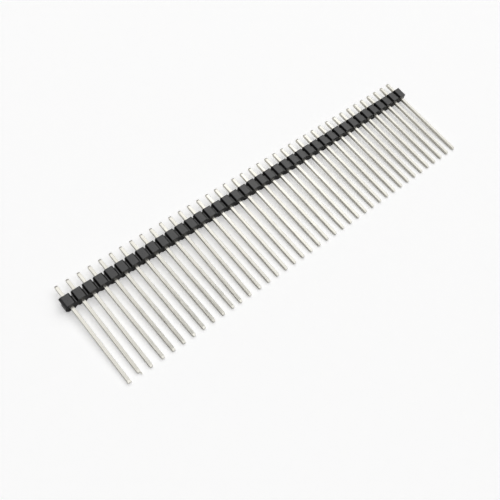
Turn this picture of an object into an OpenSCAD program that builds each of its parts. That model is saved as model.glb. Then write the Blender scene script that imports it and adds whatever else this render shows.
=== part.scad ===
// Single-row pin header strip: one moulded insulator and a row of square pins through it.
// The strip lies on one long side, as it comes to rest on a table: the insulator's edge and
// the ends of the long posts touch the table at Z = 0. X runs along the row, the posts point
// to -Y and the solder tails to +Y. The origin is on the table, under the middle of the strip.

/* [Row] */
// Number of pins in the row
pin_count = 40; // [6:1:40]
// Distance between two neighbouring pins
pitch = 2.54; // [2.4:0.02:3.5]

/* [Insulator] */
// Thickness of the insulator, across the row
body_height = 2.65; // [2:0.05:4]
// Depth of the insulator, along the pins
body_depth = 2.6; // [1.5:0.1:6]
// Depth of the break notches between the units
notch_depth = 0.5; // [0.2:0.05:0.6]
// Width of the flat web at the foot of a notch
web_width = 0.26; // [0.1:0.02:0.4]
// Run of each sloping side of a notch, along the row
notch_run = 0.33; // [0.2:0.01:0.5]

/* [Relief slots] */
// Depth of the slot between two units, in from the board side
slot_depth = 0.85; // [0.3:0.05:1]
// Width of a slot at the board side
slot_mouth = 0.44; // [0.2:0.02:0.8]
// Width of a slot at its floor
slot_floor = 0.24; // [0.1:0.02:0.6]
// Thickness of the torn lip left over the half slot at the first pin's end
lip_thickness = 0.2; // [0.1:0.05:0.5]

/* [Pins] */
// Width and thickness of the square pins
pin_width = 0.74; // [0.66:0.02:1]
// Length of the long posts, from the insulator's face to the tip
post_length = 19.5; // [8:0.5:30]
// Length of the solder tails, from the insulator's face to the tip
tail_length = 3; // [2.2:0.1:6]

/* [Tips] */
// Length of the blunt point on a post
post_tip_length = 0.5; // [0.3:0.05:1]
// Width of the flat end of a post, along the row
post_tip_width = 0.6; // [0.3:0.02:0.66]
// Thickness of the flat end of a post
post_tip_height = 0.44; // [0.2:0.02:0.5]
// Length of the blunt point on a tail
tail_tip_length = 0.35; // [0.3:0.05:1]
// Width of the flat end of a tail, along the row
tail_tip_width = 0.64; // [0.3:0.02:0.66]
// Thickness of the flat end of a tail
tail_tip_height = 0.46; // [0.2:0.02:0.5]

/* [Leaning posts] */
// Length of every post that stays straight next to the insulator
straight_root = 2.5; // [2.2:0.1:5]
// Last pin of the first group, whose posts lean towards -X
first_group_end = 3; // [2:1:5]
// How far the tips of the first group lean
first_group_lean = 0.15; // [0:0.05:0.4]
// Last pin of the second group, whose posts lean towards +X
second_group_end = 11; // [7:1:11]
// How far the tips of the second group lean
second_group_lean = 0.15; // [0:0.05:0.4]
// Last pin of the third group, whose posts lean towards -X
third_group_end = 13; // [12:1:16]
// How far the tips of the third group lean
third_group_lean = 0.25; // [0:0.05:0.4]

/* [Damage] */
// Number of the pin whose post was sheared off square
sheared_pin = 1; // [1:1:6]
// Width of the sheared end, along the row
sheared_width = 0.8; // [0.6:0.02:0.9]
// Thickness of the sheared end
sheared_height = 0.6; // [0.4:0.02:0.64]
// Number of the pin whose post ends in a burr
burred_pin = 2; // [1:1:6]
// Length of the burr beyond the post's blunt end
burr_length = 0.6; // [0.2:0.05:1]
// Width and thickness of the burr where it leaves the post
burr_width = 0.26; // [0.1:0.02:0.3]
// Width of the burr at its end
burr_tip_width = 0.14; // [0.06:0.02:0.16]
// How far the burr hooks along the row
burr_hook = 0.05; // [0:0.05:0.4]

/* [Hidden] */
strip_length = pin_count * pitch;
face_y = body_depth / 2;
axis_z = body_height / 2;
// The lowest point of a post is where its blunt point begins. The strip leans on it.
rest_reach = post_length - post_tip_length;
rest_tilt = atan((body_height - pin_width) / 2 / rest_reach);
// The row's reach along Y once it leans, which centres it on the origin
tail_reach = (body_depth + tail_length) * cos(rest_tilt)
    - (axis_z - tail_tip_height / 2) * sin(rest_tilt);
post_reach = post_length * cos(rest_tilt) + (axis_z + post_tip_height / 2) * sin(rest_tilt);
centre_y = (tail_reach - post_reach) / 2;

function pin_x(i) = (i - (pin_count + 1) / 2) * pitch;
function pin_name(i) = str("pin_", i < 10 ? "0" : "", i);
// How far the tip of post i leans along the row
function tip_lean(i) =
    i <= first_group_end ? -first_group_lean
    : i <= second_group_end ? second_group_lean
    : i <= third_group_end ? -third_group_lean
    : 0;
// How far a leaning post is off its own line at a distance from the insulator
function lean_at(slope, distance) = slope * max(0, distance - straight_root);

// Tips the level strip until it rests on the insulator's long edge and the posts' ends
module at_rest() {
    translate([0, -centre_y, 0])
        rotate([rest_tilt, 0, 0])
            translate([0, face_y, 0]) children();
}

// One flank of the insulator as a row of points: flat, slope, web, slope, flat and so on.
// side is -1 for the lower flank and 1 for the upper one.
function flank(side) = [
    for (i = [1:pin_count], step = [0:3])
        let (half_flat = pitch / 2 - web_width / 2 - notch_run)
        let (half_slope = pitch / 2 - web_width / 2)
        [
            pin_x(i) + [-half_slope, -half_flat, half_flat, half_slope][step],
            axis_z + side * (body_height / 2 - [notch_depth, 0, 0, notch_depth][step])
        ]
];

// The insulator seen along the pins, with both ends snapped off in the middle of a web
module insulator_section() {
    lower = flank(-1);
    upper = flank(1);
    ends_z = [notch_depth, body_height - notch_depth];
    difference() {
        polygon(concat(
            [[-strip_length / 2, ends_z[0]]],
            lower,
            [[strip_length / 2, ends_z[0]], [strip_length / 2, ends_z[1]]],
            [for (k = [len(upper) - 1:-1:0]) upper[k]],
            [[-strip_length / 2, ends_z[1]]]
        ));
        for (i = [1:pin_count]) translate([pin_x(i), axis_z]) square(pin_width, center = true);
    }
}

// A slot seen from above, with its mouth at the board side
module slot_plan() {
    polygon([
        [-slot_mouth / 2, face_y],
        [-slot_floor / 2, face_y - slot_depth],
        [slot_floor / 2, face_y - slot_depth],
        [slot_mouth / 2, face_y]
    ]);
}

// The slots between the units, and half a slot at each end where the strip was snapped off.
// The one at the first pin's end stops under the torn lip.
module slots() {
    lip_z = body_height - notch_depth - lip_thickness;
    for (i = [0:pin_count])
        translate([pin_x(i) + pitch / 2, 0, 0])
            linear_extrude(i == 0 ? lip_z : body_height) slot_plan();
}

module insulator() {
    color("#2b2a29")
        at_rest()
            difference() {
                translate([0, face_y, 0])
                    rotate([90, 0, 0]) linear_extrude(body_depth) insulator_section();
                slots();
            }
}

// A pin's outline along its own axis, Y, with the widths of its two flat ends. slope is how
// much its post leans per unit of length, beyond the straight root.
module pin_outline(post_end, tail_end, post, slope) {
    half = pin_width / 2;
    bend_y = -face_y - straight_root;
    point_y = -face_y - post + post_tip_length;
    point_x = lean_at(slope, post - post_tip_length);
    end_y = -face_y - post;
    end_x = lean_at(slope, post);
    polygon(concat(
        slope == 0 ? [] : [[-half, bend_y]],
        [
            [point_x - half, point_y],
            [end_x - post_end / 2, end_y],
            [end_x + post_end / 2, end_y],
            [point_x + half, point_y]
        ],
        slope == 0 ? [] : [[half, bend_y]],
        [
            [half, face_y + tail_length - tail_tip_length],
            [tail_end / 2, face_y + tail_length],
            [-tail_end / 2, face_y + tail_length],
            [-half, face_y + tail_length - tail_tip_length]
        ]
    ));
}

// A square pin with both ends coined on all four sides. It is what two outlines share:
// the one seen from above, which leans, and the one seen from the side.
module pin_blank(end_width, end_height, post, slope) {
    widest = max(pin_width, end_width);
    reach = widest + abs(lean_at(slope, post));
    intersection() {
        translate([0, 0, -widest])
            linear_extrude(2 * widest) pin_outline(end_width, tail_tip_width, post, slope);
        rotate([0, 90, 0])
            translate([0, 0, -reach])
                linear_extrude(2 * reach) pin_outline(end_height, tail_tip_height, post, 0);
    }
}

// The thin hook of metal that a worn cutter left on one post. It starts inside the post's
// blunt point, turns half-way along and ends level with the other posts.
module burr(post) {
    side_x = post_tip_width / 2;
    root_y = -face_y - post + post_tip_length / 2;
    turn_y = -face_y - post - burr_length / 2;
    end_y = -face_y - post - burr_length;
    linear_extrude(burr_width, center = true)
        polygon([
            [side_x - burr_width, root_y],
            [side_x - burr_tip_width, turn_y],
            [side_x + burr_hook - burr_tip_width, end_y],
            [side_x + burr_hook, end_y],
            [side_x + (burr_width - burr_tip_width) / 2, turn_y],
            [side_x, root_y]
        ]);
}

module pin(i) {
    slope = tip_lean(i) / (post_length - straight_root);
    short_post = post_length - burr_length;
    color("#d8d4ca")
        at_rest()
            translate([pin_x(i), 0, axis_z])
                if (i == sheared_pin) {
                    pin_blank(sheared_width, sheared_height, post_length, slope);
                } else if (i == burred_pin) {
                    pin_blank(post_tip_width, post_tip_height, short_post, slope);
                    translate([lean_at(slope, short_post), 0, 0]) burr(short_post);
                } else {
                    pin_blank(post_tip_width, post_tip_height, post_length, slope);
                }
}

insulator();
for (i = [1:pin_count])
    pin(i);
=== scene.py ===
import math
from functools import partial

import bpy
from mathutils import Matrix, Vector


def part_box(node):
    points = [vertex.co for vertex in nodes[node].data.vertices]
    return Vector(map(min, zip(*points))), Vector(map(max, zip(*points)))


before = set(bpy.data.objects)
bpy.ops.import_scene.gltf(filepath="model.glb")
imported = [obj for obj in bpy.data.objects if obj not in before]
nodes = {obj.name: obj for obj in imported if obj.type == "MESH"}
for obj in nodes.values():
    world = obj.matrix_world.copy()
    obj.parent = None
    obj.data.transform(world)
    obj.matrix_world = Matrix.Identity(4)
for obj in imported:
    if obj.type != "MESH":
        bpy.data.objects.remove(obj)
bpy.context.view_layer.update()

MM = 0.001
PINS = sorted(name for name in nodes if name.startswith("pin_"))

# The frame gives the strip's own sizes.
strip_lo, strip_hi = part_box("insulator")
PITCH = (strip_hi.x - strip_lo.x) / len(PINS)
FIRST_PIN_X = strip_lo.x + PITCH / 2


# ---------------------------------------------------------------- camera

# Where the camera stands, seen from the middle of the strip, and the point near the table
# that it looks straight at. The lens is shifted, so that point isn't in the middle of the
# picture.
CAMERA_AT = Vector((-68.8, -50.8, 124.17)) * MM
CAMERA_AIM = Vector((-5.4, -12.3, 0.07)) * MM
CAMERA_ROLL = math.radians(18.9)
LENS_MM = 46.97
SENSOR_MM = 36
SHIFT_X = -0.095
SHIFT_Y = 0.022


def add_camera():
    data = bpy.data.cameras.new("camera")
    data.lens = LENS_MM
    data.sensor_width = SENSOR_MM
    data.shift_x = SHIFT_X
    data.shift_y = SHIFT_Y
    data.clip_start = 5 * MM
    camera = bpy.data.objects.new("camera", data)
    bpy.context.scene.collection.objects.link(camera)
    turn = (CAMERA_AIM - CAMERA_AT).to_track_quat("-Z", "Y").to_matrix().to_4x4()
    roll = Matrix.Rotation(CAMERA_ROLL, 4, "Z")
    camera.matrix_world = Matrix.Translation(CAMERA_AT) @ turn @ roll
    bpy.context.scene.camera = camera


# ---------------------------------------------------------------- node helpers

class Nodes:
    """Adds shader nodes and links them in one line each."""

    def __init__(self, owner):
        if isinstance(owner, bpy.types.NodeTree):
            self.tree = owner
            return
        owner.use_nodes = True
        self.tree = owner.node_tree
        self.tree.nodes.clear()

    def add(self, kind, inputs=(), **settings):
        node = self.tree.nodes.new(kind)
        for key, value in settings.items():
            setattr(node, key, value)
        for key, value in dict(inputs).items():
            if isinstance(value, bpy.types.NodeSocket):
                self.tree.links.new(value, node.inputs[key])
            else:
                node.inputs[key].default_value = value
        return node

    def math(self, operation, *values):
        node = self.add("ShaderNodeMath", enumerate(values), operation=operation)
        return node.outputs[0]

    def coordinates(self, scale):
        """The object's own coordinates, in metres, times a scale for each axis."""
        place = self.add("ShaderNodeTexCoord").outputs["Object"]
        mapping = self.add("ShaderNodeMapping", {"Vector": place, "Scale": scale})
        return mapping.outputs["Vector"]

    def noise(self, scale, detail=2.0, roughness=0.5):
        """Noise with about so many lumps per metre, along all axes or along X, Y and Z."""
        if isinstance(scale, int):
            scale = (scale, scale, scale)
        vector = self.coordinates(scale)
        values = {"Vector": vector, "Scale": 1.0, "Detail": detail, "Roughness": roughness}
        return self.add("ShaderNodeTexNoise", values).outputs["Fac"]

    def spread(self, value, low, high):
        """Turns noise, which is mostly between 0.3 and 0.7, into a value from low to high."""
        values = {"Value": value, "From Min": 0.3, "From Max": 0.7, "To Min": low, "To Max": high}
        return self.add("ShaderNodeMapRange", values).outputs["Result"]

    def ease(self, value, start, end):
        """0 at start, 1 at end, smooth in between and level beyond."""
        values = {"Value": value, "From Min": start, "From Max": end}
        node = self.add("ShaderNodeMapRange", values, interpolation_type="SMOOTHSTEP")
        return node.outputs["Result"]

    def mix_colour(self, factor, first, second):
        node = self.add("ShaderNodeMix", data_type="RGBA")
        self.tree.links.new(factor, node.inputs[0])
        for socket, value in ((node.inputs[6], first), (node.inputs[7], second)):
            if isinstance(value, bpy.types.NodeSocket):
                self.tree.links.new(value, socket)
            else:
                socket.default_value = (*value, 1)
        return node.outputs[2]

    def seen(self, mirrored_share=1.0):
        """1 for the camera, a share of 1 in what a surface mirrors, and 0 where it would give
        light."""
        path = self.add("ShaderNodeLightPath").outputs
        mirrored = self.math("ADD", path["Is Glossy Ray"], path["Is Transmission Ray"])
        mirrored = self.math("MULTIPLY", mirrored, mirrored_share)
        return self.math("ADD", path["Is Camera Ray"], mirrored)

    def finish(self, shader):
        output = self.add("ShaderNodeOutputMaterial")
        self.tree.links.new(shader, output.inputs["Surface"])


# ---------------------------------------------------------------- materials

PLASTIC_DARKEST = (0.004, 0.0038, 0.0036)
PLASTIC_PALEST = (0.009, 0.0087, 0.0083)
PLASTIC_ROUGHNESS = (0.26, 0.38)
PLASTIC_BUMP = 0.006 * MM
PLASTIC_IOR = 1.7
# Painted shade: the faces that the pins pass through, and the sides of the notches, mirror
# less than the rest, which darkens them as if they were in shade. A face is one of them where
# its normal has most of its length along X or Y.
FULL_GLOSS = 0.5
PAINTED_SHADE_GLOSS = 0.1
PAINTED_SHADE_NORMAL = (0.5, 0.9)


def plastic_material():
    material = bpy.data.materials.new("satin_black_plastic")
    n = Nodes(material)
    cloud = n.noise(500, detail=3)
    colour = n.mix_colour(n.spread(cloud, 0, 1), PLASTIC_DARKEST, PLASTIC_PALEST)
    grain = n.noise(9000, detail=4, roughness=0.6)
    ripple = n.noise(1300)
    height = n.math("ADD", grain, n.math("MULTIPLY", ripple, 2.0))
    bump = n.add("ShaderNodeBump", {"Height": height, "Strength": 0.35, "Distance": PLASTIC_BUMP})
    rough = n.spread(n.noise(2200, detail=3), *PLASTIC_ROUGHNESS)
    normal = n.add("ShaderNodeTexCoord").outputs["Normal"]
    facing = n.add("ShaderNodeSeparateXYZ", {"Vector": normal}).outputs
    most = n.math("MAXIMUM", n.math("ABSOLUTE", facing["X"]), n.math("ABSOLUTE", facing["Y"]))
    # Painted shade: faces along X or Y lose gloss, so they mirror less and look darker.
    painted_shade = n.math("MULTIPLY", n.ease(most, *PAINTED_SHADE_NORMAL), FULL_GLOSS - PAINTED_SHADE_GLOSS)
    shader = n.add("ShaderNodeBsdfPrincipled", {
        "Base Color": colour,
        "Roughness": rough,
        "IOR": PLASTIC_IOR,
        "Specular IOR Level": n.math("SUBTRACT", FULL_GLOSS, painted_shade),
        "Normal": bump.outputs["Normal"],
    })
    n.finish(shader.outputs["BSDF"])
    return material


ROLLED_DARKEST = (0.62, 0.605, 0.55)
ROLLED_PALEST = (0.75, 0.735, 0.68)
# The stains' colour, and how much of it the most stained places have
STAIN = (0.50, 0.475, 0.41)
MOST_STAIN = 0.25
# How much of the tone is a pin's own; the rest comes from the streaks along it
PIN_TONE = 0.45
# The two faces that look along the row were sheared from the strip of wire and are duller
# than the two rolled ones; their darker colour is partly that and partly painted shade. A face
# is one of them where its normal is along X.
SHEARED_AND_SHADED = (0.58, 0.56, 0.50)
SHEARED_AND_SHADED_NORMAL = (0.35, 0.85)
SHEARED_ROUGHNESS = 0.1
TIN_ROUGHNESS = (0.22, 0.32)
TIN_BUMP = 0.004 * MM


def tin_material():
    material = bpy.data.materials.new("tin_plate")
    n = Nodes(material)
    coordinates = n.add("ShaderNodeTexCoord").outputs
    along_row = n.add("ShaderNodeSeparateXYZ", {"Vector": coordinates["Object"]}).outputs["X"]
    steps = n.math("DIVIDE", n.math("SUBTRACT", along_row, FIRST_PIN_X), PITCH)
    number = n.math("ROUND", steps)
    chance = n.add("ShaderNodeTexWhiteNoise", {"W": number}, noise_dimensions="1D")
    each_pin = n.math("MULTIPLY", chance.outputs["Value"], PIN_TONE)

    facing = n.add("ShaderNodeSeparateXYZ", {"Vector": coordinates["Normal"]}).outputs["X"]
    turned = n.math("ABSOLUTE", facing)
    limits = {"Value": turned, "From Min": SHEARED_AND_SHADED_NORMAL[0], "From Max": SHEARED_AND_SHADED_NORMAL[1]}
    sheared_and_shaded = n.add("ShaderNodeMapRange", limits).outputs["Result"]

    streaks = n.noise((14000, 160, 14000), detail=4, roughness=0.55)
    stains = n.noise((2500, 350, 2500), detail=3)
    tone = n.math("ADD", each_pin, n.math("MULTIPLY", streaks, 1 - PIN_TONE))
    rolled = n.mix_colour(tone, ROLLED_DARKEST, ROLLED_PALEST)
    rolled = n.mix_colour(n.spread(stains, 0, MOST_STAIN), rolled, STAIN)
    dents = n.noise((5200, 2600, 5200))
    height = n.math("ADD", streaks, n.math("MULTIPLY", dents, 0.5))
    bump = n.add("ShaderNodeBump", {"Height": height, "Strength": 0.3, "Distance": TIN_BUMP})
    extra = n.math("MULTIPLY", sheared_and_shaded, SHEARED_ROUGHNESS)
    shader = n.add("ShaderNodeBsdfPrincipled", {
        # Partly painted shade: the faces along X take the darker sheared colour.
        "Base Color": n.mix_colour(sheared_and_shaded, rolled, SHEARED_AND_SHADED),
        "Metallic": 1.0,
        "Roughness": n.math("ADD", n.spread(stains, *TIN_ROUGHNESS), extra),
        "Normal": bump.outputs["Normal"],
    })
    n.finish(shader.outputs["BSDF"])
    return material


PAPER_DARKEST = (0.93, 0.93, 0.93)
PAPER_PALEST = (0.96, 0.96, 0.96)
# How far the paper is lifted to white, where 1 is white
FLOOR_LIFT = 0.37
# Painted shade: the lift that the strip mirrors is darkened where something stands this near to the
# paper.
SHADED_REACH = 3 * MM
SHADED_POWER = 3.0


def floor_material():
    """White paper. It is lifted to white for the camera and, away from the strip, for what the
    strip mirrors. The lift gives the strip no light."""
    material = bpy.data.materials.new("pale_floor")
    n = Nodes(material)
    colour = n.mix_colour(n.noise(400, detail=3), PAPER_DARKEST, PAPER_PALEST)
    shader = n.add("ShaderNodeBsdfPrincipled", {"Base Color": colour, "Roughness": 0.9})
    # Painted shade in what the strip mirrors: the lift fades where the strip stands near.
    open_sky = n.add("ShaderNodeAmbientOcclusion", {"Distance": SHADED_REACH}, samples=8)
    seen = n.seen(n.math("POWER", open_sky.outputs["AO"], SHADED_POWER))
    glow = n.add("ShaderNodeEmission", {"Strength": n.math("MULTIPLY", seen, FLOOR_LIFT)})
    both = n.add("ShaderNodeAddShader", {0: shader.outputs["BSDF"], 1: glow.outputs["Emission"]})
    n.finish(both.outputs["Shader"])
    return material


# ---------------------------------------------------------------- the strip's own pieces

# Edges are sharp, and rounded, where their faces turn by more than this.
SHARP_ON_PIN = math.radians(60)
SHARP_ON_INSULATOR = math.radians(20)

# The pins' long edges are rounded by this much. Edges that reach less far along a pin get a
# share of it. On the pin with a burr that goes for all edges but those of its shaft, because
# the burr is so thin.
PIN_EDGE = 0.07 * MM
PIN_SEGMENTS = 4
LONG_EDGE = 0.3 * MM
SHAFT_EDGE = 2 * MM
BURRED_PIN = "pin_02"
SHORT_EDGE_SHARE = 0.2

# The insulator's edges: full width at the back of the tops, and shares of it elsewhere
INSULATOR_EDGE = 0.32 * MM
INSULATOR_SEGMENTS = 3
PLAIN_SHARE = 0.17
LEAST_SHARE = 0.08
# The strip rests at a slant, so only the tops' back edges are above the one height, and only
# the edges that it lies on are below the other.
TOP_BACK_Z = strip_hi.z - 0.06 * MM
UNDER_FRONT_Z = 0.05 * MM
# How far the relief slots reach to each side of a joint, and where they begin
SLOT_REACH = 0.24 * MM
SLOT_START_Y = strip_hi.y - 1.1 * MM


def edge_marks(name, weigh):
    """A node group that marks edges for rounding, each by the weight that weigh() builds."""
    group = bpy.data.node_groups.new(name, "GeometryNodeTree")
    group.interface.new_socket("Mesh", in_out="INPUT", socket_type="NodeSocketGeometry")
    group.interface.new_socket("Mesh", in_out="OUTPUT", socket_type="NodeSocketGeometry")
    n = Nodes(group)
    ends = n.add("GeometryNodeInputMeshEdgeVertices").outputs
    angle = n.add("GeometryNodeInputMeshEdgeAngle").outputs
    weight = weigh(n, ends["Position 1"], ends["Position 2"], angle)
    source = n.add("NodeGroupInput").outputs[0]
    store = n.add("GeometryNodeStoreNamedAttribute", data_type="FLOAT", domain="EDGE")
    n.tree.links.new(source, store.inputs["Geometry"])
    store.inputs["Name"].default_value = "bevel_weight_edge"
    n.tree.links.new(weight, store.inputs["Value"])
    n.tree.links.new(store.outputs["Geometry"], n.add("NodeGroupOutput").inputs[0])
    return group


def pin_edge_weight(long_edge, n, first, second, angle):
    """Full on the sharp edges that reach further along a pin than long_edge, and a share on
    its other sharp edges."""
    span = n.add("ShaderNodeVectorMath", {0: first, 1: second}, operation="SUBTRACT")
    along = n.add("ShaderNodeSeparateXYZ", {"Vector": span.outputs["Vector"]}).outputs["Y"]
    is_long = n.math("GREATER_THAN", n.math("ABSOLUTE", along), long_edge)
    is_sharp = n.math("GREATER_THAN", angle["Unsigned Angle"], SHARP_ON_PIN)
    share = n.math("ADD", n.math("MULTIPLY", is_long, 1 - SHORT_EDGE_SHARE), SHORT_EDGE_SHARE)
    return n.math("MULTIPLY", is_sharp, share)


def insulator_edge_weight(n, first, second, angle):
    """Full on the back edges of the tops, least around the relief slots and under the front,
    and a share elsewhere."""
    total = n.add("ShaderNodeVectorMath", {0: first, 1: second}, operation="ADD").outputs["Vector"]
    middle = n.add("ShaderNodeVectorMath", {0: total, "Scale": 0.5}, operation="SCALE")
    at = n.add("ShaderNodeSeparateXYZ", {"Vector": middle.outputs["Vector"]}).outputs
    is_top_back = n.math("GREATER_THAN", at["Z"], TOP_BACK_Z)
    is_under_front = n.math("LESS_THAN", at["Z"], UNDER_FRONT_Z)
    units = n.math("DIVIDE", n.math("SUBTRACT", at["X"], strip_lo.x), PITCH)
    from_joint = n.math("ABSOLUTE", n.math("SUBTRACT", units, n.math("ROUND", units)))
    in_slot = n.math("LESS_THAN", from_joint, SLOT_REACH / PITCH)
    in_slot = n.math("MULTIPLY", in_slot, n.math("GREATER_THAN", at["Y"], SLOT_START_Y))
    is_sharp = n.math("GREATER_THAN", angle["Unsigned Angle"], SHARP_ON_INSULATOR)
    is_least = n.math("MAXIMUM", in_slot, is_under_front)
    share = n.math("SUBTRACT", PLAIN_SHARE, n.math("MULTIPLY", is_least, PLAIN_SHARE - LEAST_SHARE))
    share = n.math("MAXIMUM", share, is_top_back)
    return n.math("MULTIPLY", is_sharp, share)


def tidy_mesh(node):
    """Joins the faces that meet, and makes each flat side one face, so that edges can be
    rounded cleanly."""
    weld = node.modifiers.new("joined", "WELD")
    weld.merge_threshold = 0.001 * MM
    flat = node.modifiers.new("flat_sides", "DECIMATE")
    flat.decimate_type = "DISSOLVE"
    flat.angle_limit = math.radians(0.1)


def round_edges(node, marks, width, segments):
    """Rounds the edges that a node group marks, at full weight by width."""
    node.modifiers.new("marked_edges", "NODES").node_group = marks
    bevel = node.modifiers.new("rounded_edges", "BEVEL")
    bevel.width = width
    bevel.segments = segments
    bevel.harden_normals = True
    bevel.limit_method = "WEIGHT"
    bevel.use_clamp_overlap = False


def dress(node, material, marks, width, segments):
    for slot in node.material_slots:
        slot.material = material
    tidy_mesh(node)
    round_edges(node, marks, width, segments)


def dress_strip():
    insulator_marks = edge_marks("insulator_edges", insulator_edge_weight)
    pin_marks = edge_marks("pin_edges", partial(pin_edge_weight, LONG_EDGE))
    burred_pin_marks = edge_marks("burred_pin_edges", partial(pin_edge_weight, SHAFT_EDGE))
    plastic = plastic_material()
    tin = tin_material()
    dress(nodes["insulator"], plastic, insulator_marks, INSULATOR_EDGE, INSULATOR_SEGMENTS)
    for name in PINS:
        marks = burred_pin_marks if name == BURRED_PIN else pin_marks
        dress(nodes[name], tin, marks, PIN_EDGE, PIN_SEGMENTS)


# ---------------------------------------------------------------- table and light

FLOOR_SIZE = 3


def add_floor():
    bpy.ops.mesh.primitive_plane_add(size=FLOOR_SIZE, location=(0, 0, 0))
    floor = bpy.context.object
    floor.name = "floor"
    floor.data.materials.append(floor_material())


# The key light: where it hangs, seen from the strip, and its size, all in metres. Its
# brightness is given as seen in a mirror, where 1 is white.
KEY_DIRECTION = (0.42, 0.40, 0.81)
KEY_DISTANCE = 0.45
KEY_SIDE = 0.22
KEY_RADIANCE = 0.5
KEY_COLOUR = (1.0, 0.99, 0.97)


def add_key_softbox():
    """A square soft light, turned to face the strip."""
    data = bpy.data.lights.new("key_softbox", "AREA")
    data.shape = "RECTANGLE"
    data.size = KEY_SIDE
    data.size_y = KEY_SIDE
    data.energy = KEY_RADIANCE * KEY_SIDE * KEY_SIDE * math.pi
    data.color = KEY_COLOUR
    light = bpy.data.objects.new("key_softbox", data)
    bpy.context.scene.collection.objects.link(light)
    light.location = Vector(KEY_DIRECTION).normalized() * KEY_DISTANCE
    light.rotation_euler = (-light.location).to_track_quat("-Z", "Y").to_euler()


# The tent's light grows between these shares of the way to the right, the back and the zenith.
# What isn't lit by it has the dim light alone.
TENT_RIGHT = (-0.5, 0.0)
TENT_BACK = (-0.8, -0.3)
TENT_HIGH = (0.42, 0.70)
TENT_BRIGHT = 1.4
TENT_DIM = 0.04
# A dark patch of the tent: the direction of its middle, and how far from there the tent
# begins and is fully bright again
SHADE_AT = (0.29, 0.20, 0.94)
SHADE_REACH = (0.05, 0.20)
# The backdrop around the table: the height at which it has faded out, under the tent, and the
# height up to which it is whole, both as shares of the way to the zenith
BACKDROP_EDGE = (0.42, 0.30)
BACKDROP_WHITE = 0.9


def add_world():
    """A tent of light behind and above the strip, dim in front, and a white backdrop that
    gives no light."""
    world = bpy.data.worlds.new("light_tent")
    bpy.context.scene.world = world
    n = Nodes(world)
    direction = n.add("ShaderNodeTexCoord").outputs["Generated"]
    parts = n.add("ShaderNodeSeparateXYZ", {"Vector": direction}).outputs
    right = n.ease(parts["X"], *TENT_RIGHT)
    back = n.ease(parts["Y"], *TENT_BACK)
    high = n.ease(parts["Z"], *TENT_HIGH)
    away = n.add("ShaderNodeVectorMath", {0: direction, 1: SHADE_AT}, operation="DISTANCE")
    unshaded = n.ease(away.outputs["Value"], *SHADE_REACH)
    opening = n.math("MULTIPLY", right, n.math("MULTIPLY", back, high))
    glow = n.math("MULTIPLY", n.math("MULTIPLY", opening, TENT_BRIGHT), unshaded)
    backdrop = n.math("MULTIPLY", n.ease(parts["Z"], *BACKDROP_EDGE), BACKDROP_WHITE)
    backdrop = n.math("MULTIPLY", backdrop, n.seen())
    strength = n.math("ADD", n.math("ADD", glow, TENT_DIM), backdrop)
    background = n.add("ShaderNodeBackground", {"Color": (1, 1, 1, 1), "Strength": strength})
    output = n.add("ShaderNodeOutputWorld")
    n.tree.links.new(background.outputs["Background"], output.inputs["Surface"])


# ---------------------------------------------------------------- the picture

bpy.context.scene.view_settings.view_transform = "Standard"
add_camera()
dress_strip()
add_floor()
add_key_softbox()
add_world()
